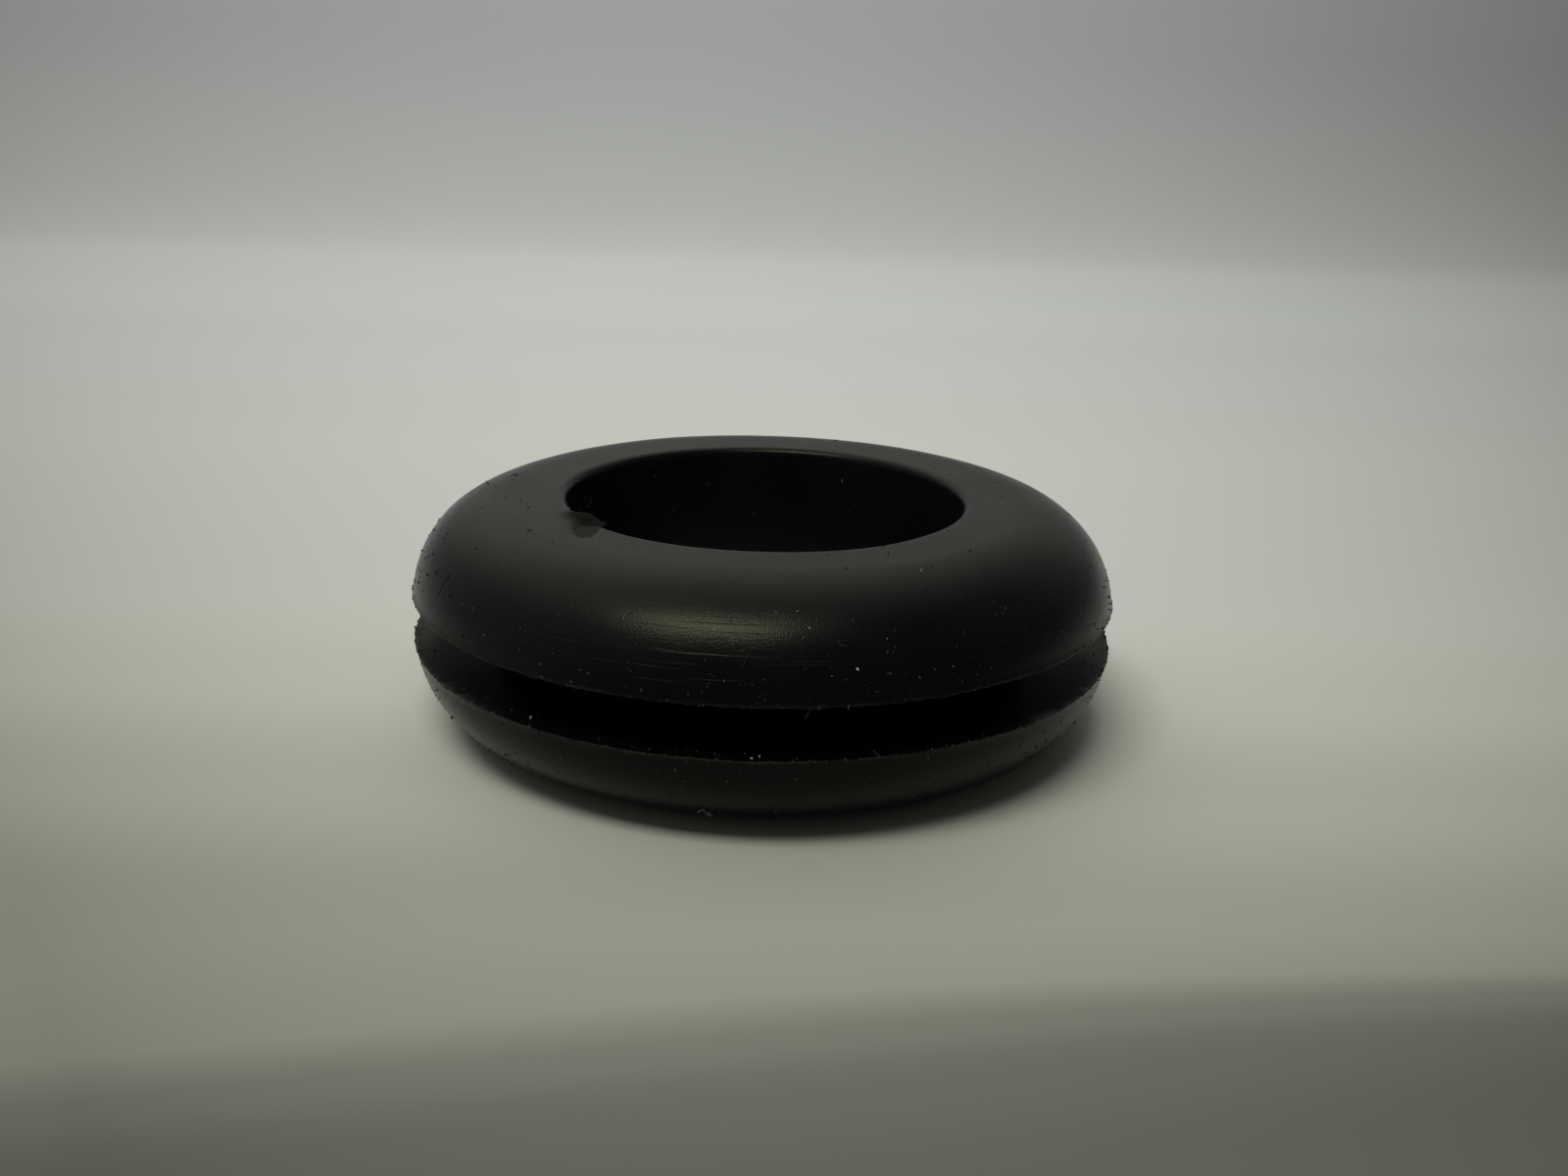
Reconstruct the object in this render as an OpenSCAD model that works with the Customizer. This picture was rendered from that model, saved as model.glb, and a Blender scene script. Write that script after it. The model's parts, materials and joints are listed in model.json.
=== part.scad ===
// Rubber grommet: one moulded ring that snaps into a hole in a thin panel and lines it, so that a
// cable or pipe can pass through the panel without touching its edge.
// Millimetres. The axis is Z, the ring lies on its lower flange, and the origin is on the axis at
// the face that it lies on. Both flanges are alike.

/* [Bore] */
// Diameter of the hole that the cable or pipe goes through
bore_d = 12.5; // [8:0.1:14]
// Radius that eases the rim of the hole at both faces
rim_r = 0.25; // [0.1:0.05:0.6]

/* [Flanges] */
// Outer diameter of both flanges, across their lips
flange_d = 22; // [20:0.1:28]
// Thickness of each flange, from its flat face to the groove
flange_t = 2.75; // [1.5:0.05:4]
// Radius of the shoulder that rounds a flange from its flat face down to its lip
shoulder_r = 3; // [1.5:0.05:3.5]

/* [Panel groove] */
// Width of the groove, which takes the panel's thickness
groove_w = 1.5; // [0.8:0.05:4]
// Diameter at the bottom of the groove, which is the size of the hole in the panel
groove_d = 17; // [15:0.1:19]
// Radius in the two inner corners of the groove
groove_fillet = 0.3; // [0.1:0.05:0.35]

/* [Nick] */
// Width of the nick torn out of the upper rim of the hole
nick_w = 1.3; // [0.6:0.1:2.4]
// Depth of the nick at the rim
nick_depth = 0.45; // [0.3:0.05:0.8]
// How far the nick runs out over the flat face before it ends
nick_reach = 1; // [0.5:0.1:1.4]
// Direction of the nick around the hole, anticlockwise from +X
nick_angle = 217; // [0:1:359]

/* [Hidden] */
$fn = 128;

bore_r = bore_d / 2;
flange_r = flange_d / 2;
groove_r = groove_d / 2;
groove_depth = flange_r - groove_r;
total_h = 2 * flange_t + groove_w;
mid_z = total_h / 2;

// The shoulder's arc leaves the flat face smoothly and meets the lip where the groove begins, so its
// centre lies inside the lip by the arc's reach at that height.
lip_z = min(flange_t, shoulder_r);
shoulder_reach = sqrt(pow(shoulder_r, 2) - pow(shoulder_r - lip_z, 2));
shoulder_x = flange_r - shoulder_reach;

// A round-bottomed cut of this radius is as wide and as deep at the rim as the nick, and its bottom
// climbs at this slope to end at the nick's reach.
nick_r = (pow(nick_w / 2, 2) + pow(nick_depth, 2)) / (2 * nick_depth);
nick_slope = atan(nick_depth / nick_reach);

// Section of the lower half before the groove is cut: eased rim, flat face, shoulder and lip
module half_section() {
    intersection() {
        translate([bore_r, 0]) square([flange_r - bore_r, mid_z]);
        union() {
            translate([bore_r + rim_r, rim_r]) circle(r = rim_r);
            translate([bore_r + rim_r, 0]) square([shoulder_x - bore_r - rim_r, mid_z]);
            translate([bore_r, rim_r]) square([shoulder_x - bore_r, mid_z]);
            translate([shoulder_x, shoulder_r]) circle(r = shoulder_r);
            translate([shoulder_x, lip_z]) square([shoulder_reach, mid_z]);
        }
    }
}

// Section of the groove, square at the lips and rounded at the bottom
module groove_section() {
    translate([groove_r + groove_fillet, flange_t]) square([groove_depth, groove_w]);
    translate([groove_r, flange_t + groove_fillet])
        square([groove_depth, groove_w - 2 * groove_fillet]);
    for (z = [flange_t + groove_fillet, flange_t + groove_w - groove_fillet])
        translate([groove_r + groove_fillet, z]) circle(r = groove_fillet);
}

// Scoop out of the upper rim, where a little rubber has torn away
module nick() {
    rotate([0, 0, nick_angle])
        translate([bore_r, 0, total_h - nick_depth])
            rotate([0, -nick_slope, 0])
                translate([0, 0, nick_r])
                    rotate([0, 90, 0])
                        cylinder(r = nick_r, h = 4 * nick_reach, center = true);
}

module grommet() {
    color("#1c1c1d")
        difference() {
            rotate_extrude() difference() {
                union() {
                    half_section();
                    translate([0, total_h]) mirror([0, 1]) half_section();
                }
                groove_section();
            }
            nick();
        }
}

grommet();
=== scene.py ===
"""A black rubber grommet: the moulded ring that lines a hole in a thin panel, lying on pale paper.

Geometry Nodes turn the ring from one section. The rim of its hole is then torn, and the ring is
dusted with the lint and crumbs that rubber picks up. Metres, +Z up.
"""

import json
import math

import bpy
import numpy as np
from mathutils import Matrix, Vector, noise
from mathutils.bvhtree import BVHTree


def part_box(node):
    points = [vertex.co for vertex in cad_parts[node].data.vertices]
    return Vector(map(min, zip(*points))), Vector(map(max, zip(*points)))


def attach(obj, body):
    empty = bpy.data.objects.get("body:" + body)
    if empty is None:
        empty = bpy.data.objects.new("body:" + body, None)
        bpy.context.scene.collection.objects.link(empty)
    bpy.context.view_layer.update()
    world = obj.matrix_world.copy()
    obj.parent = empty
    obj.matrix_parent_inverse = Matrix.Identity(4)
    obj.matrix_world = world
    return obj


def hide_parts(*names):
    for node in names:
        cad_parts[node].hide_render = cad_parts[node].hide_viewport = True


MM = 0.001
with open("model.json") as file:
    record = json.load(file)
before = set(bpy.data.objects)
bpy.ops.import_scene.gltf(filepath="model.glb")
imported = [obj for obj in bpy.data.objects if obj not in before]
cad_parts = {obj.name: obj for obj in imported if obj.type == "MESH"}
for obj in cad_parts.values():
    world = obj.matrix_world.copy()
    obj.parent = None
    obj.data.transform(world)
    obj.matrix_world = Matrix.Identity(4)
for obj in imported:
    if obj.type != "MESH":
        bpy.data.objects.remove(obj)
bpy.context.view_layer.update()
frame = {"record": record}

# ---------------------------------------------------------------- camera
LOOK_AT = Vector((0.66, 0.0, 3.85)) * MM  # what lies at the middle of the picture
CAMERA_AWAY = 49.27 * MM
CAMERA_DOWN = math.radians(18.2)  # how steeply it looks down
CAMERA_ASIDE = math.radians(0.81)  # how far it looks towards +X
CAMERA_ROLL = math.radians(1.57)  # how far it leans to its left
CAMERA_LENS = 35.0
CAMERA_SENSOR = 36.0
PICTURE = (1600, 1200)  # its width and height in pixels


def place_camera():
    """The camera, close in front of the ring and looking a little down on it."""
    data = bpy.data.cameras.new("camera")
    data.lens = CAMERA_LENS
    data.sensor_width = CAMERA_SENSOR
    data.clip_start = 1 * MM
    data.dof.use_dof = False
    made = bpy.data.objects.new("camera", data)
    bpy.context.scene.collection.objects.link(made)
    turn = (
        Matrix.Rotation(-CAMERA_ASIDE, 3, "Z")
        @ Matrix.Rotation(math.pi / 2 - CAMERA_DOWN, 3, "X")
        @ Matrix.Rotation(CAMERA_ROLL, 3, "Z")
    )
    ahead = turn @ Vector((0, 0, -1))
    made.matrix_world = Matrix.LocRotScale(
        LOOK_AT - ahead * CAMERA_AWAY, turn.to_quaternion(), None
    )
    bpy.context.scene.camera = made
    return made


def sight_line(pixel):
    """Where the camera's line through a pixel starts, and which way it goes."""
    focal = PICTURE[0] * CAMERA_LENS / CAMERA_SENSOR
    across = (pixel[0] - PICTURE[0] / 2) / focal
    down = (pixel[1] - PICTURE[1] / 2) / focal
    way = camera.matrix_world.to_3x3() @ Vector((across, -down, -1))
    return camera.matrix_world.translation.copy(), way.normalized()


camera = place_camera()
bpy.context.scene.view_settings.view_transform = "Standard"

# ---------------------------------------------------------------- trees and meshes
# The kinds of node that are used most.
MATH = "ShaderNodeMath"
VECTOR = "ShaderNodeVectorMath"
NOISE = "ShaderNodeTexNoise"
RANGE = "ShaderNodeMapRange"


def linear(hex_colour):
    """An sRGB hex colour as a linear one, with alpha."""
    parts = [int(hex_colour[at : at + 2], 16) / 255 for at in (1, 3, 5)]
    curve = [p / 12.92 if p <= 0.04045 else ((p + 0.055) / 1.055) ** 2.4 for p in parts]
    return (*curve, 1.0)


def add(tree, kind, inputs=None, **settings):
    """Adds one node. Each input is a value, or the node or socket that feeds it."""
    made = tree.nodes.new(kind)
    for name, value in settings.items():
        setattr(made, name, value)
    for key, value in (inputs or {}).items():
        if isinstance(value, bpy.types.Node):
            value = value.outputs[0]
        if isinstance(value, bpy.types.NodeSocket):
            tree.links.new(value, made.inputs[key])
        else:
            made.inputs[key].default_value = value
    return made


def new_tree(name, sockets):
    """A Geometry Nodes tree with its named inputs: the tree, its input node and its output node."""
    tree = bpy.data.node_groups.new(name, "GeometryNodeTree")
    tree.interface.new_socket("Geometry", in_out="INPUT", socket_type="NodeSocketGeometry")
    tree.interface.new_socket("Geometry", in_out="OUTPUT", socket_type="NodeSocketGeometry")
    for socket, kind in sockets.items():
        tree.interface.new_socket(socket, in_out="INPUT", socket_type=kind)
    return tree, add(tree, "NodeGroupInput"), add(tree, "NodeGroupOutput")


def finish_tree(tree, result, made, material):
    """Makes a tree's instances real, gives the result its material and feeds the tree's output."""
    made = add(tree, "GeometryNodeRealizeInstances", {"Geometry": made})
    made = add(tree, "GeometryNodeSetMaterial", {"Geometry": made, "Material": material})
    tree.links.new(made.outputs[0], result.inputs[0])


def show(name, mesh):
    """A new object in the scene, at the origin."""
    made = bpy.data.objects.new(name, mesh)
    bpy.context.scene.collection.objects.link(made)
    return made


def grow(name, tree, start, values):
    """Runs a Geometry Nodes tree on a start mesh, and keeps what it makes as a plain mesh."""
    holder = show(name + "_start", start)
    modifier = holder.modifiers.new("grow", "NODES")
    modifier.node_group = tree
    for item in tree.interface.items_tree:
        if item.in_out == "INPUT" and item.name in values:
            modifier[item.identifier] = values[item.name]
    graph = bpy.context.evaluated_depsgraph_get()
    mesh = bpy.data.meshes.new_from_object(holder.evaluated_get(graph), depsgraph=graph)
    holder.modifiers.clear()
    bpy.data.objects.remove(holder)
    return show(name, mesh)


# ---------------------------------------------------------------- the ring's section
_, ring_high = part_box("grommet")
bore = next(mount for mount in frame["record"]["mounts"] if mount["name"] == "bore")
HEIGHT = ring_high.z
FLANGE_R = ring_high.x
BORE_R = bore["dims"]["r_mm"] * MM
MIDDLE = HEIGHT / 2
RIM_R = 0.25 * MM  # eases the rim of the hole
FLANGE_T = 2.75 * MM
SHOULDER_R = 3.0 * MM
GROOVE_R = 8.5 * MM
GROOVE_FILLET = 0.3 * MM
GROOVE_HALF = MIDDLE - FLANGE_T  # half its width
BURR = 0.018 * MM  # the bead of flash that the mould leaves along each lip
BURR_FOOT = 1.5  # how many degrees of the shoulder it covers
UPPER_BURR = 0.6  # how much of the lower lip's burr the upper lip has
ROUND_STEPS = 480
TEAR_ROOM = 1.5 * MM  # how far down and outward from the rim the points lie close, for its tear


def arc(centre, radius, first, last, count):
    """Points along an arc of the section, from one angle to another."""
    angles = np.radians(np.linspace(first, last, count))
    return [(centre[0] + radius * math.cos(a), centre[1] + radius * math.sin(a)) for a in angles]


def straight(first, last, count):
    """Points along a straight stretch of the section, without its two ends."""
    shares = np.linspace(0, 1, count + 2)[1:-1]
    return [tuple(np.array(first) * (1 - s) + np.array(last) * s) for s in shares]


def upper_half():
    """The section from the middle of the hole, over the upper flange, to the middle of the groove.

    Each point is its radius, its height and how far it belongs to the burr along the lip. The last
    value that an arc or a straight stretch is given is how many points it gets."""
    lip = HEIGHT - FLANGE_T
    centre_z = HEIGHT - SHOULDER_R
    lip_angle = math.degrees(math.asin((lip - centre_z) / SHOULDER_R))
    centre_x = FLANGE_R - SHOULDER_R * math.cos(math.radians(lip_angle))
    rim = arc((BORE_R + RIM_R, HEIGHT - RIM_R), RIM_R, 180, 90, 7)
    shoulder = arc((centre_x, centre_z), SHOULDER_R, 90, lip_angle + BURR_FOOT, 25)
    fillet = arc((GROOVE_R + GROOVE_FILLET, lip - GROOVE_FILLET), GROOVE_FILLET, 90, 180, 4)
    tear_low = (BORE_R, HEIGHT - TEAR_ROOM)
    tear_out = (BORE_R + TEAR_ROOM, HEIGHT)
    wall_end = (FLANGE_R - BURR, lip)
    plain = [(BORE_R, MIDDLE), tear_low] + straight(tear_low, rim[0], 7) + rim
    plain += straight(rim[-1], tear_out, 9) + [tear_out]
    plain += straight(tear_out, shoulder[0], 1) + shoulder
    burr = [(FLANGE_R + BURR, lip + BURR, 0.7), (FLANGE_R + BURR, lip, 1.0)]
    inner = [wall_end] + straight(wall_end, fillet[0], 5) + fillet
    inner += straight(fillet[-1], (GROOVE_R, MIDDLE), 1) + [(GROOVE_R, MIDDLE)]
    return [(*p, 0.0) for p in plain] + burr + [(*p, 0.0) for p in inner]


def section_mesh():
    """The whole closed section as loose points, with its burr marked."""
    upper = upper_half()
    lower = [(r, HEIGHT - z, b) for r, z, b in upper[-2:0:-1]]
    points = [(r, z, b * UPPER_BURR) for r, z, b in upper] + lower
    mesh = bpy.data.meshes.new("section")
    mesh.from_pydata([(r, 0, z) for r, z, _ in points], [], [])
    mark = mesh.attributes.new("burr", "FLOAT", "POINT")
    mark.data.foreach_set("value", [b for _, _, b in points])
    return mesh


# ---------------------------------------------------------------- the ring's tree
BURR_OUTWARD = 0.6  # how far the burr stands out, as a share of how far it leans into the groove
# Dust clings to the front of the shoulder, and handling has wiped it off the flat top. For each
# axis: where it lies thickest, where the least of it is left, and how much that is.
DUST_ALONG = (-7 * MM, 3 * MM, 0.15)
DUST_UP = (5.6 * MM, 6.6 * MM, 0.12)


def turned_section(tree, given):
    """A grid with a row for each point of the section and a column for each step round the axis:
    the grid, the place that each of its points goes to, and how far it belongs to the burr."""
    columns = add(tree, MATH, {0: given["Steps round"], 1: 1.0}, operation="ADD")
    rows = add(tree, MATH, {0: given["Section points"], 1: 1.0}, operation="ADD")
    grid = add(tree, "GeometryNodeMeshGrid", {"Vertices X": rows, "Vertices Y": columns})
    index = add(tree, "GeometryNodeInputIndex")
    step = add(tree, MATH, {0: index, 1: columns}, operation="MODULO")
    row = add(tree, MATH, {0: index, 1: columns}, operation="DIVIDE")
    row = add(tree, MATH, {0: row}, operation="FLOOR")
    row = add(tree, MATH, {0: row, 1: given["Section points"]}, operation="MODULO")
    angle = add(tree, MATH, {0: step, 1: given["Steps round"]}, operation="DIVIDE")
    angle = add(tree, MATH, {0: angle, 1: math.tau}, operation="MULTIPLY")
    position = add(tree, "GeometryNodeInputPosition")
    point = add(
        tree,
        "GeometryNodeSampleIndex",
        {"Geometry": given["Geometry"], "Value": position, "Index": row},
        data_type="FLOAT_VECTOR",
    )
    burr = add(tree, "GeometryNodeInputNamedAttribute", {"Name": "burr"}, data_type="FLOAT")
    burr = add(
        tree,
        "GeometryNodeSampleIndex",
        {"Geometry": given["Geometry"], "Value": burr, "Index": row},
        data_type="FLOAT",
    )
    turn = {"Vector": point, "Angle": angle}
    place = add(tree, "ShaderNodeVectorRotate", turn, rotation_type="Z_AXIS")
    return grid, place, burr


def sag(tree, given, place):
    """How far each point is off true: a soft moulding sags by hundredths of a millimetre."""
    scale = add(tree, MATH, {0: 1.0, 1: given["Sag width"]}, operation="DIVIDE")
    wave = add(tree, NOISE, {"Vector": place, "Scale": scale, "Detail": 1.0}).outputs["Color"]
    wave = add(tree, VECTOR, {0: wave, 1: (0.5, 0.5, 0.5)}, operation="SUBTRACT")
    return add(tree, VECTOR, {0: wave, "Scale": given["Sag"]}, operation="SCALE")


def burr_lean(tree, given, place, burr):
    """How far the burr stands out from the lip and leans into the groove, in ragged crumbs."""
    scale = add(tree, MATH, {0: 1.0, 1: given["Burr width"]}, operation="DIVIDE")
    crumb = add(tree, NOISE, {"Vector": place, "Scale": scale, "Detail": 3.0, "Roughness": 0.7})
    crumb = add(tree, RANGE, {"Value": crumb, "From Min": 0.45, "From Max": 0.75})
    for share in (burr, given["Burr length"]):
        crumb = add(tree, MATH, {0: crumb, 1: share}, operation="MULTIPLY")
    outward = add(tree, VECTOR, {0: place, 1: (1, 1, 0)}, operation="MULTIPLY")
    outward = add(tree, VECTOR, {0: outward}, operation="NORMALIZE")
    height = add(tree, "ShaderNodeSeparateXYZ", {0: place}).outputs["Z"]
    inward = add(tree, MATH, {0: given["Middle height"], 1: height}, operation="SUBTRACT")
    inward = add(tree, MATH, {0: inward}, operation="SIGN")
    inward = add(tree, "ShaderNodeCombineXYZ", {"Z": inward})
    lean = add(tree, VECTOR, {0: outward, "Scale": BURR_OUTWARD}, operation="SCALE")
    lean = add(tree, VECTOR, {0: lean, 1: inward}, operation="ADD")
    return add(tree, VECTOR, {0: lean, "Scale": crumb}, operation="SCALE")


def dust_share(tree, given, place):
    """How thickly dust has settled: in patches, and most of all on the front of the shoulder."""
    scale = add(tree, MATH, {0: 1.0, 1: given["Dust patch"]}, operation="DIVIDE")
    patch = add(tree, NOISE, {"Vector": place, "Scale": scale, "Detail": 2.0})
    patch = add(
        tree,
        RANGE,
        {"Value": patch, "From Min": 0.35, "From Max": 0.65, "To Min": 0.15, "To Max": 1.0},
    )
    where = add(tree, "ShaderNodeSeparateXYZ", {0: place})
    for axis, (dusty, wiped, least) in (("Y", DUST_ALONG), ("Z", DUST_UP)):
        limits = {"From Min": dusty, "From Max": wiped, "To Min": 1.0, "To Max": least}
        share = add(tree, RANGE, {"Value": where.outputs[axis], **limits})
        patch = add(tree, MATH, {0: patch, 1: share}, operation="MULTIPLY")
    return patch


def ring_tree():
    """Turns the section round the axis, roughens its lips, and marks them and where dust lies."""
    tree, given, result = new_tree(
        "turned_ring",
        {
            "Section points": "NodeSocketInt",
            "Steps round": "NodeSocketInt",
            "Middle height": "NodeSocketFloat",
            "Sag": "NodeSocketFloat",
            "Sag width": "NodeSocketFloat",
            "Burr length": "NodeSocketFloat",
            "Burr width": "NodeSocketFloat",
            "Dust patch": "NodeSocketFloat",
            "Material": "NodeSocketMaterial",
        },
    )
    given = given.outputs
    grid, place, burr = turned_section(tree, given)
    moved = {0: sag(tree, given, place), 1: burr_lean(tree, given, place, burr)}
    moved = add(tree, VECTOR, moved, operation="ADD")
    moved = add(tree, VECTOR, {0: place, 1: moved}, operation="ADD")
    ring = add(tree, "GeometryNodeSetPosition", {"Geometry": grid, "Position": moved})
    for name, share in (("lip", burr), ("dusty", dust_share(tree, given, place))):
        ring = add(
            tree,
            "GeometryNodeStoreNamedAttribute",
            {"Geometry": ring, "Name": name, "Value": share},
            data_type="FLOAT",
            domain="POINT",
        )
    ring = add(tree, "GeometryNodeMergeByDistance", {"Geometry": ring, "Distance": 0.001 * MM})
    ring = add(tree, "GeometryNodeSetShadeSmooth", {"Geometry": ring})
    finish_tree(tree, result, ring, given["Material"])
    return tree


# ---------------------------------------------------------------- the trees of grains and fibres
def scattered_points(tree, given, mark):
    """Points strewn over a mesh as thickly as a mark of it says, and how wide each grain is."""
    thick = add(tree, MATH, {0: mark, 1: given["Per square metre"]}, operation="MULTIPLY")
    points = add(
        tree,
        "GeometryNodeDistributePointsOnFaces",
        {"Mesh": given["Geometry"], "Density": thick, "Seed": given["Seed"]},
    )
    # Most grains are small and most are dark: powers of random shares set their size and shade.
    next_seed = add(tree, MATH, {0: given["Seed"], 1: 1.0}, operation="ADD")
    drawn = []
    for seed, power, least, most in (
        (given["Seed"], 2.0, "Smallest", "Largest"),
        (next_seed, 3.0, "Darkest", "Palest"),
    ):
        share = add(tree, "FunctionNodeRandomValue", {"Seed": seed}, data_type="FLOAT").outputs[1]
        share = add(tree, MATH, {0: share, 1: power}, operation="POWER")
        limits = {"To Min": given[least], "To Max": given[most]}
        drawn.append(add(tree, RANGE, {"Value": share, **limits}))
    across, pale = drawn
    points = add(
        tree,
        "GeometryNodeStoreNamedAttribute",
        {"Geometry": points, "Name": "pale", "Value": pale},
        data_type="FLOAT",
        domain="POINT",
    )
    return points, across


def grains_tree(name, scattered):
    """Small angular grains, either scattered over a mesh or set on given points.

    The mark is how thickly they lie on the mesh, or how wide the grain on each point is."""
    tree, given, result = new_tree(
        name,
        {
            "Mark": "NodeSocketString",
            "Per square metre": "NodeSocketFloat",
            "Smallest": "NodeSocketFloat",
            "Largest": "NodeSocketFloat",
            "Darkest": "NodeSocketFloat",
            "Palest": "NodeSocketFloat",
            "Seed": "NodeSocketInt",
            "Material": "NodeSocketMaterial",
        },
    )
    given = given.outputs
    mark = add(tree, "GeometryNodeInputNamedAttribute", {"Name": given["Mark"]}, data_type="FLOAT")
    points, across = given["Geometry"], mark
    if scattered:
        points, across = scattered_points(tree, given, mark)
    turn = add(
        tree,
        "FunctionNodeRandomValue",
        {1: (math.tau, math.tau, math.tau), "Seed": given["Seed"]},
        data_type="FLOAT_VECTOR",
    )
    # Each is longer than it is wide, and flatter still.
    shape = add(
        tree,
        "FunctionNodeRandomValue",
        {0: (0.8, 0.5, 0.4), 1: (2.0, 0.9, 0.7), "Seed": given["Seed"]},
        data_type="FLOAT_VECTOR",
    )
    size = add(tree, VECTOR, {0: shape, "Scale": across}, operation="SCALE")
    grain = add(tree, "GeometryNodeMeshIcoSphere", {"Radius": 0.5, "Subdivisions": 1})
    grains = add(
        tree,
        "GeometryNodeInstanceOnPoints",
        {"Points": points, "Instance": grain, "Rotation": turn, "Scale": size},
    )
    finish_tree(tree, result, grains, given["Material"])
    return tree


def lint_tree():
    """Thin round fibres along chains of edges."""
    tree, given, result = new_tree(
        "lint",
        {
            "Thickness": "NodeSocketFloat",
            "Bends": "NodeSocketInt",
            "Material": "NodeSocketMaterial",
        },
    )
    given = given.outputs
    curves = add(tree, "GeometryNodeMeshToCurve", {"Mesh": given["Geometry"]})
    curves = add(tree, "GeometryNodeCurveSplineType", {"Curve": curves}, spline_type="CATMULL_ROM")
    curves = add(tree, "GeometryNodeResampleCurve", {"Curve": curves, "Count": given["Bends"]})
    half = add(tree, MATH, {0: given["Thickness"], 1: 0.5}, operation="MULTIPLY")
    outline = add(tree, "GeometryNodeCurvePrimitiveCircle", {"Resolution": 6, "Radius": half})
    fibres = add(
        tree,
        "GeometryNodeCurveToMesh",
        {"Curve": curves, "Profile Curve": outline, "Fill Caps": True},
    )
    fibres = add(tree, "GeometryNodeSetShadeSmooth", {"Geometry": fibres})
    finish_tree(tree, result, fibres, given["Material"])
    return tree


# ---------------------------------------------------------------- the rubber
TOOL_PITCH = 0.07 * MM  # from one tool mark to the next
TOOL_RUN = 5 * MM  # how long a tool mark lasts round the axis
MARK_DEPTH = 0.007 * MM
RUBBED_AT = (-2.2 * MM, -10.0 * MM, 5.6 * MM)  # the middle of where the tool marks are deep
RUBBED_REACH = (6 * MM, 6 * MM, 1.1 * MM)  # how far from there they fade out, along each axis
MARKS_ELSEWHERE = 0.06  # how much of their depth is left beyond it
GRAIN = 0.06 * MM  # the satin that the mould leaves
GRAIN_DEPTH = 0.007 * MM
BLOOM_PATCH = 2.2 * MM  # how wide each patch of bloom is
LIP_STRETCH = 1.2 * MM  # how long each pale stretch of a lip is
LIP_EDGE = 0.06 * MM  # the groove's finish stops this far inside the lips
GROOVE_SLACK = 0.05 * MM  # how far the groove's finish follows its walls where they sag
CREASE_FROM = Vector((-8.94, -5.40, 5.75)) * MM
CREASE_TO = Vector((-9.28, -5.51, 5.13)) * MM
CREASE_WIDE = 0.08 * MM
CREASE_DEPTH = 0.03 * MM


def new_material(name):
    """A new node material: the material, its tree and its shader."""
    material = bpy.data.materials.new(name)
    material.use_nodes = True
    return material, material.node_tree, material.node_tree.nodes["Principled BSDF"]


def layered(tree, first, layers):
    """A colour, with each further colour laid over it by its share."""
    colour = linear(first)
    for share, over in layers:
        sockets = {0: share, 6: colour, 7: linear(over)}
        colour = add(tree, "ShaderNodeMix", sockets, data_type="RGBA").outputs[2]
    return colour


def tool_marks(tree, place, level, radius, from_middle):
    """Fine rings, as deep as -1: noise that is drawn out round the axis and tight along the
    section. They are deep on one stretch of the shoulder and barely there elsewhere."""
    heading = add(tree, VECTOR, {0: level}, operation="NORMALIZE")
    along = add(tree, MATH, {0: from_middle, 1: radius}, operation="SUBTRACT")
    along = add(tree, MATH, {0: along, 1: TOOL_PITCH}, operation="DIVIDE")
    along = add(tree, "ShaderNodeCombineXYZ", {"Z": along})
    around = (FLANGE_R / TOOL_RUN, FLANGE_R / TOOL_RUN, 0)
    rings = add(tree, VECTOR, {0: heading, 1: around, 2: along}, operation="MULTIPLY_ADD")
    marks = add(tree, NOISE, {"Vector": rings, "Scale": 1.0, "Detail": 2.0})
    marks = add(
        tree,
        RANGE,
        {"Value": marks, "From Min": 0.3, "From Max": 0.4, "To Min": -1.0, "To Max": 0.0},
        interpolation_type="SMOOTHSTEP",
    )
    shares = [1 / reach for reach in RUBBED_REACH]
    away = add(tree, VECTOR, {0: place, 1: RUBBED_AT}, operation="SUBTRACT")
    away = add(tree, VECTOR, {0: away, 1: shares}, operation="MULTIPLY")
    away = add(tree, VECTOR, {0: away}, operation="LENGTH").outputs["Value"]
    limits = {"From Min": 0.4, "From Max": 1.0, "To Min": 1.0, "To Max": MARKS_ELSEWHERE}
    deep = add(tree, RANGE, {"Value": away, **limits}, interpolation_type="SMOOTHSTEP")
    return add(tree, MATH, {0: marks, 1: deep}, operation="MULTIPLY")


def groove_and_painted_shade_share(tree, radius, from_middle):
    """1 on the walls and the bottom of the groove, 0 elsewhere: where its smooth finish and its
    painted shade go.
    """
    full = GROOVE_HALF + GROOVE_SLACK
    limits = {"From Min": full, "From Max": full + GROOVE_SLACK, "To Min": 1.0, "To Max": 0.0}
    groove_and_painted_shade = add(tree, RANGE, {"Value": from_middle, **limits})
    outside = add(tree, MATH, {0: radius, 1: GROOVE_R - GROOVE_FILLET}, operation="GREATER_THAN")
    within = add(tree, MATH, {0: radius, 1: FLANGE_R - LIP_EDGE}, operation="LESS_THAN")
    for share in (outside, within):
        groove_and_painted_shade = add(tree, MATH, {0: groove_and_painted_shade, 1: share}, operation="MULTIPLY")
    return groove_and_painted_shade


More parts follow.
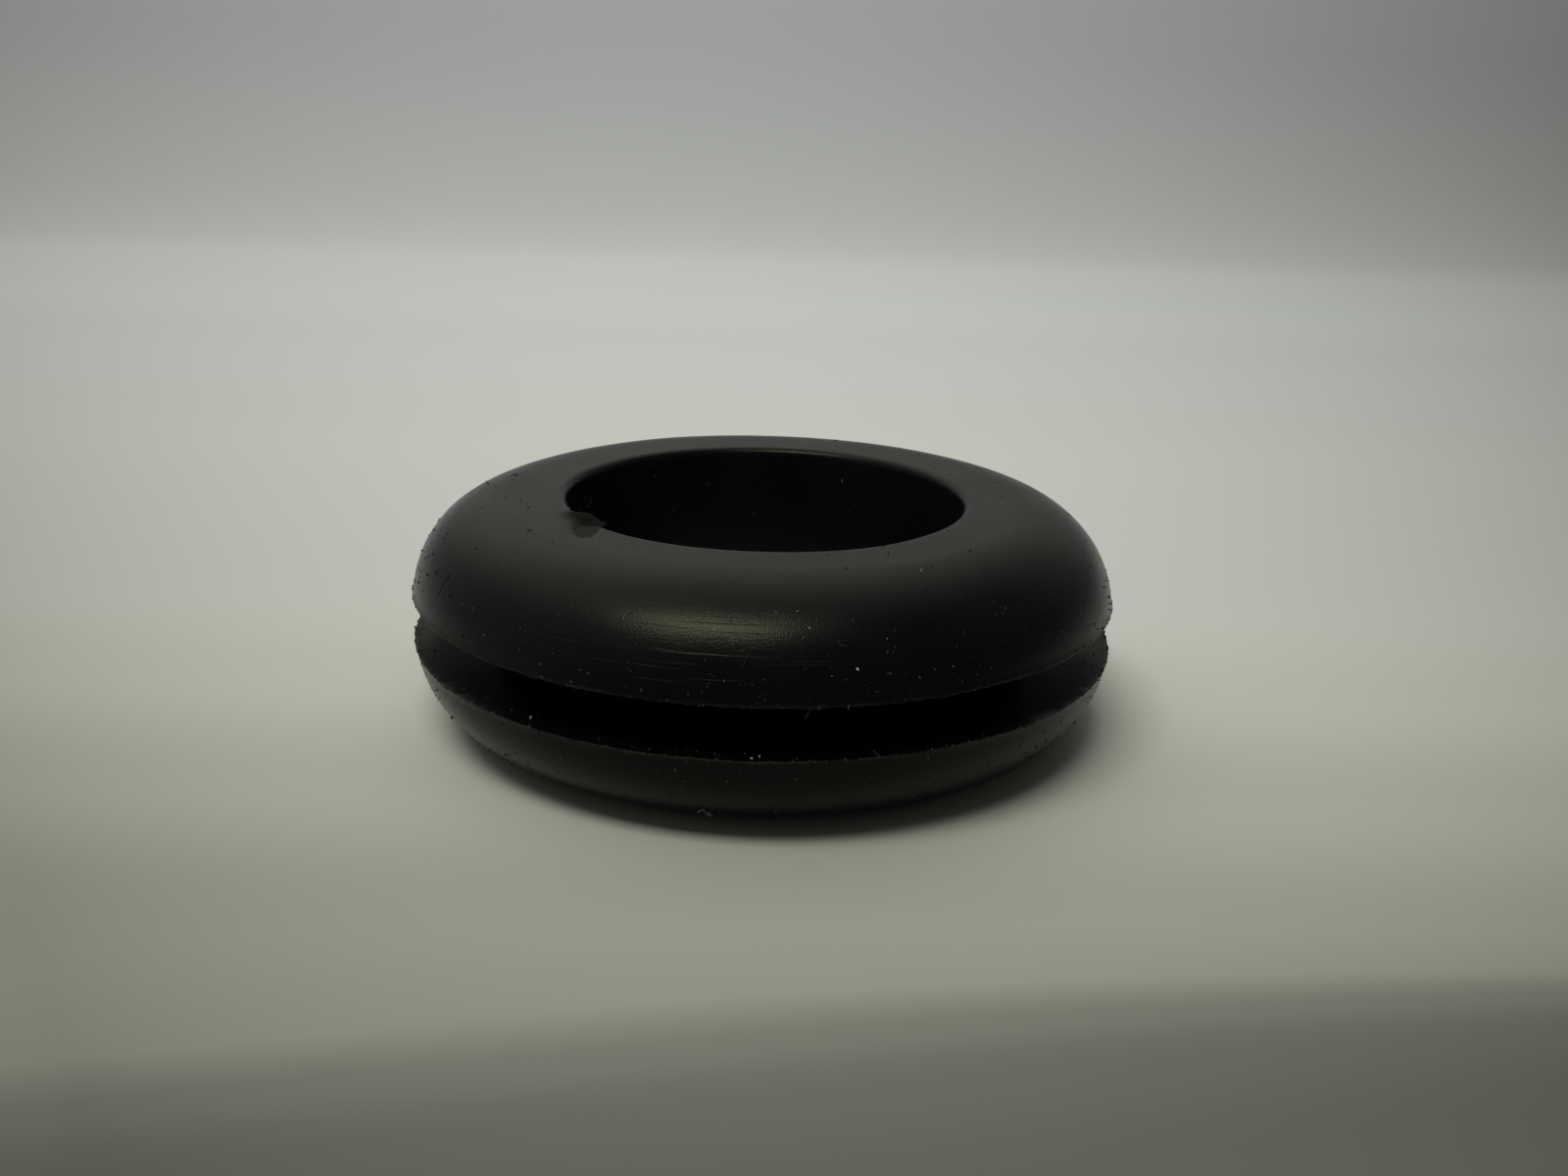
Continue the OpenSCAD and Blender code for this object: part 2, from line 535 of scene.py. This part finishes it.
def crease_share(tree, place):
    """A short crease across the left of the shoulder, fainter towards its lower end. It is sunk by
    the bump and also given painted shade.
    """
    long_way = CREASE_TO - CREASE_FROM
    per_length = long_way / long_way.length_squared
    beside = add(tree, VECTOR, {0: place, 1: CREASE_FROM}, operation="SUBTRACT")
    share = add(tree, VECTOR, {0: beside, 1: per_length}, operation="DOT_PRODUCT").outputs["Value"]
    share = add(tree, "ShaderNodeClamp", {"Value": share})
    nearest = add(tree, VECTOR, {0: long_way, "Scale": share}, operation="SCALE")
    beside = add(tree, VECTOR, {0: beside, 1: nearest}, operation="DISTANCE").outputs["Value"]
    limits = {"From Max": CREASE_WIDE, "To Min": 1.0, "To Max": 0.0}
    crease = add(tree, RANGE, {"Value": beside, **limits}, interpolation_type="SMOOTHSTEP")
    fade = add(tree, RANGE, {"Value": share, "To Min": 1.0, "To Max": 0.3})
    return add(tree, MATH, {0: crease, 1: fade}, operation="MULTIPLY")


def rubber_material():
    """EPDM rubber, filled with carbon black and compression moulded in a turned steel cavity.

    Carbon black leaves almost no body colour. The cavity's fine satin grain breaks the shine into
    a soft glow, its tool marks run round the axis as hair-thin rings, and the wax and filler that
    bloom out of the rubber lie over it as a patchy grey haze, thickest where it faces up."""
    material, tree, shader = new_material("moulded_epdm_rubber")
    place = add(tree, "ShaderNodeTexCoord").outputs["Object"]
    level = add(tree, VECTOR, {0: place, 1: (1, 1, 0)}, operation="MULTIPLY")
    radius = add(tree, VECTOR, {0: level}, operation="LENGTH").outputs["Value"]
    height = add(tree, "ShaderNodeSeparateXYZ", {0: place}).outputs["Z"]
    from_middle = add(tree, MATH, {0: height, 1: MIDDLE}, operation="SUBTRACT")
    from_middle = add(tree, MATH, {0: from_middle}, operation="ABSOLUTE")
    marks = tool_marks(tree, place, level, radius, from_middle)
    groove_and_painted_shade = groove_and_painted_shade_share(tree, radius, from_middle)
    crease = crease_share(tree, place)

    # Grain: the satin of the mould. The real one is about 20 microns; it is drawn coarser to show.
    satin = {"Vector": place, "Scale": 1 / GRAIN, "Detail": 2.0, "Roughness": 0.6}
    grain = add(tree, NOISE, satin)
    relief = grain
    for sunk, depth in ((marks, MARK_DEPTH), (crease, -CREASE_DEPTH)):
        sockets = {0: sunk, 1: depth / GRAIN_DEPTH, 2: relief}
        relief = add(tree, MATH, sockets, operation="MULTIPLY_ADD")
    # The groove is formed by a smooth split ring, which leaves no grain in it.
    grained = add(tree, MATH, {0: 1.0, 1: groove_and_painted_shade}, operation="SUBTRACT")
    bump = {"Height": relief, "Distance": GRAIN_DEPTH, "Strength": grained}
    bump = add(tree, "ShaderNodeBump", bump)
    tree.links.new(bump.outputs[0], shader.inputs["Normal"])

    # Bloom: a grey haze in patches, thicker towards the top, which also dulls the gloss a little.
    haze = add(tree, NOISE, {"Vector": place, "Scale": 1 / BLOOM_PATCH, "Detail": 3.0})
    haze = add(tree, RANGE, {"Value": haze, "From Min": 0.25, "From Max": 0.75})
    upper = {"Value": height, "From Min": HEIGHT - FLANGE_T, "From Max": HEIGHT}
    upper = add(tree, RANGE, upper)
    haze = add(tree, MATH, {0: haze, 1: upper}, operation="MULTIPLY")

    # The lips are scuffed grey in stretches. Torn rubber is raw, and dull.
    worn = {"Vector": place, "Scale": 1 / LIP_STRETCH, "Detail": 3.0, "Roughness": 0.7}
    worn = add(tree, NOISE, worn)
    worn = add(tree, RANGE, {"Value": worn, "From Min": 0.4, "From Max": 0.65})
    lip = add(tree, "ShaderNodeAttribute", attribute_name="lip").outputs["Fac"]
    for share in (grain, worn):
        lip = add(tree, MATH, {0: lip, 1: share}, operation="MULTIPLY")
    torn = add(tree, "ShaderNodeAttribute", attribute_name="torn").outputs["Fac"]
    # The crease takes the torn rubber's darker colour and duller shine too: painted shade along the
    # crease.
    torn = add(tree, MATH, {0: torn, 1: crease}, operation="MAXIMUM")

    # The groove's darker colour is painted shade.
    body = layered(
        tree,
        "#0b0b12",
        [(haze, "#131319"), (lip, "#484844"), (torn, "#0a0a0a"), (groove_and_painted_shade, "#060606")],
    )
    tree.links.new(body, shader.inputs["Base Color"])
    gloss = add(tree, RANGE, {"Value": haze, "To Min": 0.25, "To Max": 0.32})
    for share, rough in ((groove_and_painted_shade, 0.3), (torn, 0.85), (lip, 0.8)):
        gloss = add(tree, "ShaderNodeMix", {0: share, 2: gloss, 3: rough})
    tree.links.new(gloss.outputs[0], shader.inputs["Roughness"])
    # Dense rubber has an IOR of about 1.52, but its pores and the bloom swallow most of the shine
    # of a face seen head on: a low IOR keeps such faces black and still lets the far edges glow.
    shader.inputs["IOR"].default_value = 1.15
    shader.inputs["Specular IOR Level"].default_value = 1.0
    # The bloom warms what shine there is. Torn rubber scatters some of it. In the groove nearly all
    # the shine
    # is taken out and the colour is darkened: painted shade, so the groove looks smooth and near
    # black.
    shine = layered(tree, "#ffffe6", [(torn, "#a0a0a4"), (groove_and_painted_shade, "#404040")])
    tree.links.new(shine, shader.inputs["Specular Tint"])
    return material


# ---------------------------------------------------------------- the dust
DUST_TINT_PATCH = 0.5 * MM  # how far apart a cool grain and a warm one lie


def dust_material():
    """Household dust, grit and torn flash: matt grains, from cool grey to warm sand.

    Each grain carries how pale it is: most are crumbs of the black rubber, greyed by fine dust."""
    material, tree, shader = new_material("settled_dust")
    place = add(tree, "ShaderNodeTexCoord").outputs["Object"]
    kind = add(tree, NOISE, {"Vector": place, "Scale": 1 / DUST_TINT_PATCH, "Detail": 0.0})
    colour = add(tree, "ShaderNodeValToRGB", {0: kind})
    stops = colour.color_ramp.elements
    stops[0].position = 0.3
    stops[0].color = linear("#d8e4f0")
    stops[1].position = 0.85
    stops[1].color = linear("#f4e0bc")
    stops.new(0.55).color = linear("#f0f0e4")
    pale = add(tree, "ShaderNodeAttribute", attribute_name="pale").outputs["Fac"]
    colour = add(tree, VECTOR, {0: colour, "Scale": pale}, operation="SCALE")
    tree.links.new(colour.outputs[0], shader.inputs["Base Color"])
    shader.inputs["Roughness"].default_value = 0.8
    shader.inputs["Specular IOR Level"].default_value = 0.2
    return material


# ---------------------------------------------------------------- the paper
# The paper's colour at so many millimetres along Y, with light and shade painted into it: paler
# behind the ring, and a painted shadow that darkens it towards its near edge. The last is the
# wall's, and where it stands.
PAPER_PAINTED_SHADES = {
    -24: "#656565",
    -21: "#6f6f6f",
    -19: "#828283",
    -17: "#a1a1a1",
    -14: "#aaaaaa",
    -7: "#c0c0c1",
    1: "#d2d2d5",
    10: "#d8d9e1",
    40: "#e1dfec",
    70: "#e6e3f4",
    100: "#ececfc",
    135: "#f3f1ff",
    165: "#e2e4f2",
}
PAPER_NEAR = min(PAPER_PAINTED_SHADES) * MM
PAPER_FAR = max(PAPER_PAINTED_SHADES) * MM
# The painted shadow at the paper's near edge lies askew.
PAPER_SLANT = -0.2  # the nearest shades lie askew: they move along Y by this share of X
SLANT_FULL = -20 * MM
SLANT_NONE = -12 * MM
# The pool of light is painted into the paper's colour.
POOL_HALF = 26 * MM  # half the width of the pool of light, level with the ring's axis
POOL_SPREAD = 0.49  # how fast that widens along Y
POOL_LEAST = 14 * MM
POOL_AT = 2.3 * MM  # how far to the right of the axis its middle passes
POOL_LEAN = 0.07  # how far it leans to the left along Y
POOL_EDGE = 0.62  # how much light is left beside the pool


def paper_material():
    """Matt paper with light and shade painted in: palest in a painted pool of light behind the
    ring, and painted shade towards its near edge.
    """
    material, tree, shader = new_material("matt_paper_painted_shade")
    place = add(tree, "ShaderNodeTexCoord").outputs["Object"]
    parts = add(tree, "ShaderNodeSeparateXYZ", {0: place}).outputs
    limits = {"From Min": SLANT_FULL, "From Max": SLANT_NONE, "To Min": PAPER_SLANT, "To Max": 0.0}
    slant = add(tree, RANGE, {"Value": parts["Y"], **limits}, interpolation_type="SMOOTHSTEP")
    along = {0: parts["X"], 1: slant, 2: parts["Y"]}
    along = add(tree, MATH, along, operation="MULTIPLY_ADD")
    along = add(tree, RANGE, {"Value": along, "From Min": PAPER_NEAR, "From Max": PAPER_FAR})
    shade = add(tree, "ShaderNodeValToRGB", {0: along})
    shade.color_ramp.interpolation = "EASE"
    shares = [(at * MM - PAPER_NEAR) / (PAPER_FAR - PAPER_NEAR) for at in PAPER_PAINTED_SHADES]
    stops = shade.color_ramp.elements  # it starts with one at each end
    for share in shares[1:-1]:
        stops.new(share)
    for stop, colour in zip(stops, PAPER_PAINTED_SHADES.values()):
        stop.color = linear(colour)
    # The painted pool of light widens away from the camera, and leans a little to the left.
    wide = add(tree, MATH, {0: parts["Y"], 1: POOL_SPREAD, 2: POOL_HALF}, operation="MULTIPLY_ADD")
    wide = add(tree, MATH, {0: wide, 1: POOL_LEAST}, operation="MAXIMUM")
    aside = add(tree, VECTOR, {0: place, 1: (1, POOL_LEAN, 0)}, operation="DOT_PRODUCT")
    aside = add(tree, MATH, {0: aside.outputs["Value"], 1: POOL_AT}, operation="SUBTRACT")
    aside = add(tree, MATH, {0: aside, 1: wide}, operation="DIVIDE")
    aside = add(tree, MATH, {0: aside, 1: 2.0}, operation="POWER")
    limits = {"From Max": 1.2, "To Min": 1.0, "To Max": POOL_EDGE}
    pool = add(tree, RANGE, {"Value": aside, **limits})
    shade = add(tree, VECTOR, {0: shade, "Scale": pool}, operation="SCALE")
    tree.links.new(shade.outputs[0], shader.inputs["Base Color"])
    shader.inputs["Roughness"].default_value = 0.9
    return material


# ---------------------------------------------------------------- the ring
# The patch that is torn out of the rim: its middle, and how far it reaches along X and Y.
TEAR_AT = (-5.15 * MM, -4.0 * MM)
TEAR_HALF = (0.55 * MM, 1.75 * MM)
TEAR_EASE = 1.5  # how softly it sinks in from its outline
TEAR_MOST = 0.5  # how torn it is at most: the flap beside it is torn right through, at 1
TEAR_DEPTH = 0.2 * MM  # how deep it would be at 1
TEAR_GRAIN = (0.35 * MM, 1.0 * MM, 0.35 * MM)  # torn rubber is pulled out along Y
# How far that grain roughens the outline of the patch, its floor and the flap.
ROUGH_OUTLINE = 0.3
ROUGH_FLOOR = 0.5
ROUGH_FLAP = 0.6
# The flap of torn rubber that stands into the hole.
FLAP_AT = 212  # degrees round from +X
FLAP_BELOW = 0.05 * MM  # its middle's depth below the rim
FLAP_HALF_WIDE = 0.75 * MM
FLAP_HALF_HIGH = 0.35 * MM
FLAP_ROOT = 0.4 * MM  # how far back into the ring it pulls
FLAP_REACH = 0.52 * MM
FLAP_RAW = 3  # how quickly it turns raw, from its root to its edge


def tear_rim(mesh):
    """Tears a patch out of the rim of the hole, pulls a flap of rubber into the hole beside it, and
    marks what is torn."""
    flat = np.empty(3 * len(mesh.vertices))
    mesh.vertices.foreach_get("co", flat)
    points = flat.reshape(-1, 3)
    torn = np.zeros(len(points))
    fine = Vector([1 / size for size in TEAR_GRAIN])
    for number, point in enumerate(points):
        radius = math.hypot(point[0], point[1])
        if point[2] < MIDDLE or radius > BORE_R + 2 * TEAR_ROOM:
            continue
        rough = noise.fractal(Vector(point) * fine, 1.0, 2.0, 3)
        aside = [(point[k] - TEAR_AT[k]) / TEAR_HALF[k] for k in (0, 1)]
        inside = 1 - aside[0] ** 2 - aside[1] ** 2 + ROUGH_OUTLINE * rough
        if inside > 0:
            torn[number] = min(TEAR_MOST, inside**TEAR_EASE)
            depth = TEAR_DEPTH * torn[number] * (1 + ROUGH_FLOOR * rough)
            point[2] = min(point[2], HEIGHT - depth)
        turned = math.degrees(math.atan2(point[1], point[0])) % 360
        beside = radius * math.radians(turned - FLAP_AT) / FLAP_HALF_WIDE
        above = (point[2] - HEIGHT + FLAP_BELOW) / FLAP_HALF_HIGH
        back = (radius - BORE_R) / FLAP_ROOT
        pull = math.exp(-(beside**4) - above**2 - back**2)
        torn[number] = max(torn[number], min(1.0, FLAP_RAW * pull))
        inward = pull * FLAP_REACH * (1 + ROUGH_FLAP * rough)
        point[:2] *= 1 - inward / radius
    mesh.vertices.foreach_set("co", flat)
    mark = mesh.attributes.new("torn", "FLOAT", "POINT")
    mark.data.foreach_set("value", torn)
    mesh.update()


def joins_object(piece):
    """Every piece belongs to the one body."""
    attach(piece, "root")


rubber = rubber_material()
dust = dust_material()
paper = paper_material()
section = section_mesh()
ring = grow(
    "grommet_rubber",
    ring_tree(),
    section,
    {
        "Section points": len(section.vertices),
        "Steps round": ROUND_STEPS,
        "Middle height": MIDDLE,
        "Sag": 0.06 * MM,
        "Sag width": 5 * MM,
        "Burr length": 0.1 * MM,
        "Burr width": 0.2 * MM,
        "Dust patch": 2.5 * MM,
        "Material": rubber,
    },
)
tear_rim(ring.data)
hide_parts("grommet")
joins_object(ring)

# ---------------------------------------------------------------- dust, grit and lint
# The larger grains: how pale, how wide in mm, and where the camera sees them, in pixels.
# The palest few, near white, are painted glints: grains that catch the panel's light.
GRIT_AND_PAINTED_GLINTS = [
    (0.95, 0.1, [(875, 683)]),
    (0.9, 0.08, [(541, 733), (775, 772)]),
    (0.5, 0.08, [(826, 641), (767, 774)]),
    (0.35, 0.07, [(792, 625), (814, 624), (719, 638), (729, 642)]),
    (0.35, 0.09, [(940, 583)]),
    (0.2, 0.06, [(905, 652), (820, 651)]),
    (0.12, 0.06, [(702, 635), (706, 641), (637, 632), (658, 599)]),
    (0.1, 0.06, [(725, 688), (583, 696), (893, 768), (592, 684), (600, 687), (739, 695)]),
    (0.12, 0.16, [(716, 826), (719, 828), (722, 829), (724, 831)]),
    (0.012, 0.2, [(597, 508), (601, 513), (599, 517)]),
    (
        0.05,
        0.055,
        [
            (728, 690), (1011, 760), (859, 659), (671, 663), (800, 699), (656, 635), (763, 650),
            (530, 600), (853, 624), (863, 649), (1046, 644), (540, 770), (772, 646),
            (690, 765), (684, 768), (701, 777), (732, 775), (951, 579), (459, 686), (487, 703),
        ],
    ),
    (
        0.025,
        0.05,
        [
            (760, 699), (1024, 756), (660, 714), (572, 626), (507, 650), (527, 664),
            (534, 676), (930, 705), (930, 712), (960, 706), (884, 700), (886, 707), (912, 715),
            (905, 653), (1004, 613), (622, 648), (676, 652), (720, 656), (1022, 695), (999, 701),
            (709, 715), (780, 720), (790, 721), (797, 721), (605, 738), (560, 733), (641, 683),
            (652, 681), (736, 675), (822, 682), (764, 688), (844, 668), (872, 701), (818, 664),
        ],
    ),
]
# The longer fibres: how pale, and the pixels that each passes through.
FIBRES = [
    (0.12, [(646, 623), (639, 627), (636, 632)]),
    (0.03, [(765, 667), (761, 674), (757, 681)]),
    (0.03, [(855, 654), (859, 659), (864, 659)]),
    (0.02, [(706, 652), (712, 657), (714, 664)]),
    (0.02, [(722, 656), (727, 660)]),
    (0.04, [(889, 765), (894, 769), (897, 773)]),
]
# Fibres that hang from the upper lip: the first pixel is on the lip, the rest are as near as it.
HANGING_FIBRES = [(0.025, [(828, 722), (824, 729), (822, 734)])]
STRAY_FIBRES = 16
LINT_LIFT = 0.015 * MM  # how far a fibre's middle lies above the rubber
skin = BVHTree.FromObject(ring, bpy.context.evaluated_depsgraph_get())


def point_mesh(name, points, edges, marks):
    """Loose points or chains of edges, with named marks on each point."""
    mesh = bpy.data.meshes.new(name)
    mesh.from_pydata(points, edges, [])
    for mark, values in marks.items():
        mesh.attributes.new(mark, "FLOAT", "POINT").data.foreach_set("value", values)
    return mesh


def seen_at(pixel):
    """Where the camera's line through a pixel meets the ring, and the way out of the rubber."""
    start, way = sight_line(pixel)
    place, outward, _, _ = skin.ray_cast(start, way)
    return place, outward


def grit_mesh():
    """The larger grains, as points that carry their width and how pale they are."""
    grains = [(pixel, pale, wide) for pale, wide, pixels in GRIT_AND_PAINTED_GLINTS for pixel in pixels]
    draw = np.random.default_rng(5)
    widths = [wide * MM * draw.uniform(0.8, 1.2) for _, _, wide in grains]
    shades = [pale for _, pale, _ in grains]
    places = [seen_at(pixel)[0] for pixel, _, _ in grains]
    return point_mesh("grit_places", places, [], {"across": widths, "pale": shades})


def fibre_chain(pixels, hangs):
    """The points of one fibre, lying on the ring or hanging at the depth of its first point."""
    first, outward = seen_at(pixels[0])
    chain = [first + outward * LINT_LIFT]
    for pixel in pixels[1:]:
        if hangs:
            start, way = sight_line(pixel)
            chain.append(start + way * (first - start).length)
        else:
            place, outward = seen_at(pixel)
            chain.append(place + outward * LINT_LIFT)
    return chain


def stray_chain(draw):
    """A short fibre that has settled anywhere on the outside of the ring."""
    turned = draw.uniform(0, math.tau)
    tilt = draw.uniform(math.radians(-35), math.radians(110))
    length = draw.uniform(0.1, 0.35) * MM
    heading = draw.uniform(0, math.tau)
    bend = draw.uniform(-1.2, 1.2)
    out = Vector((math.cos(turned), math.sin(turned), 0))
    way = -(out * math.cos(tilt) + Vector((0, 0, math.sin(tilt))))
    inside = out * (BORE_R + FLANGE_R) / 2 + Vector((0, 0, MIDDLE))
    sideways = way.cross(Vector((0, 0, 1))).normalized()
    upward = sideways.cross(way)
    chain = []
    for share in (0.0, 0.5, 1.0):
        turn = heading + bend * share
        aside = (sideways * math.cos(turn) + upward * math.sin(turn)) * length * share
        place, outward, _, _ = skin.ray_cast(inside - way * FLANGE_R + aside, way)
        if place is None:
            return []
        chain.append(place + outward * LINT_LIFT)
    return chain


def lint_mesh():
    """All fibres as chains of edges."""
    draw = np.random.default_rng(11)
    chains = [(pale, fibre_chain(pixels, False)) for pale, pixels in FIBRES]
    chains += [(pale, fibre_chain(pixels, True)) for pale, pixels in HANGING_FIBRES]
    chains += [(draw.uniform(0.01, 0.025), stray_chain(draw)) for _ in range(STRAY_FIBRES)]
    points, edges, shades = [], [], []
    for pale, chain in chains:
        edges += [(len(points) + k, len(points) + k + 1) for k in range(len(chain) - 1)]
        points += chain
        shades += [pale] * len(chain)
    return point_mesh("lint_paths", points, edges, {"pale": shades})


scattering = grains_tree("scattered_grains", True)
placing = grains_tree("placed_grains", False)
crumbs = grow(
    "flash_crumbs",
    scattering,
    ring.data.copy(),
    {
        "Mark": "lip",
        "Per square metre": 110 / MM**2,
        "Smallest": 0.03 * MM,
        "Largest": 0.09 * MM,
        "Darkest": 0.008,
        "Palest": 0.1,
        "Seed": 3,
        "Material": dust,
    },
)
dusting = grow(
    "settled_dust",
    scattering,
    ring.data.copy(),
    {
        "Mark": "dusty",
        "Per square metre": 8 / MM**2,
        "Smallest": 0.035 * MM,
        "Largest": 0.1 * MM,
        "Darkest": 0.015,
        "Palest": 0.12,
        "Seed": 7,
        "Material": dust,
    },
)
grit = grow("grit_grains", placing, grit_mesh(), {"Mark": "across", "Seed": 5, "Material": dust})
lint = grow(
    "lint_fibres",
    lint_tree(),
    lint_mesh(),
    {"Thickness": 0.025 * MM, "Bends": 7, "Material": dust},
)
for piece in (crumbs, dusting, grit, lint):
    joins_object(piece)

# ---------------------------------------------------------------- set and lights
WALL_HEIGHT = 42 * MM
COVE_R = 25 * MM
FLOOR_HALF = 900 * MM
# The soft panel hangs above the camera, behind it and to its left.
PANEL_AT = Vector((-0.08, -0.133, 0.33))
PANEL_SIZE = (0.215, 0.12)
PANEL_TURNED = math.radians(-14)
PANEL_RADIANCE = 8.8
WARM_WHITE = "#ffffe6"
ROOM_COLOUR = "#f8ffe8"
ROOM_DIM = 0.085
# Each glow: where it is, how many degrees it reaches to each side, and how bright its middle is.
ROOM_GLOWS = [
    ((-0.22, 0.36, 0.91), 52, 0.7),
    ((-0.85, 0.2, 0.5), 70, 0.2),
    ((0.12, 0.93, 0.32), 58, 0.22),
]


def paper_set():
    """Paper that lies flat and turns up behind in a soft curve."""
    side = [(-FLOOR_HALF, 0.0), (PAPER_FAR - COVE_R, 0.0)]
    side += arc((PAPER_FAR - COVE_R, COVE_R), COVE_R, -90, 0, 12)[1:]
    side += [(PAPER_FAR, WALL_HEIGHT)]
    mesh = bpy.data.meshes.new("paper")
    points = [(x, y, z) for y, z in side for x in (-FLOOR_HALF, FLOOR_HALF)]
    faces = [(2 * k, 2 * k + 1, 2 * k + 3, 2 * k + 2) for k in range(len(side) - 1)]
    mesh.from_pydata(points, [], faces)
    mesh.shade_smooth()
    mesh.materials.append(paper)
    show("paper_floor", mesh)


def ceiling_panel():
    """A rectangular soft light that faces straight down, and is as bright as asked on its face."""
    data = bpy.data.lights.new("ceiling_panel", "AREA")
    data.shape = "RECTANGLE"
    data.size, data.size_y = PANEL_SIZE
    data.energy = PANEL_RADIANCE * math.pi * data.size * data.size_y
    data.color = linear(WARM_WHITE)[:3]
    turn = Matrix.Rotation(PANEL_TURNED, 3, "Z").to_quaternion()
    show("ceiling_panel", data).matrix_world = Matrix.LocRotScale(PANEL_AT, turn, None)


def room():
    """The room's own light: dim all round, with soft glows behind, overhead and to the left."""
    world = bpy.data.worlds.new("room")
    world.use_nodes = True
    bpy.context.scene.world = world
    tree = world.node_tree
    way = add(tree, "ShaderNodeTexCoord").outputs["Generated"]
    level = ROOM_DIM
    for towards, reach, strength in ROOM_GLOWS:
        side = {0: way, 1: Vector(towards).normalized()}
        side = add(tree, VECTOR, side, operation="DOT_PRODUCT").outputs["Value"]
        limits = {"From Min": math.cos(math.radians(reach)), "From Max": 1.0, "To Max": strength}
        glow = add(tree, RANGE, {"Value": side, **limits}, interpolation_type="SMOOTHSTEP")
        level = add(tree, MATH, {0: glow, 1: level}, operation="ADD")
    background = tree.nodes["Background"]
    background.inputs["Color"].default_value = linear(ROOM_COLOUR)
    tree.links.new(level.outputs[0], background.inputs["Strength"])


paper_set()
room()
ceiling_panel()
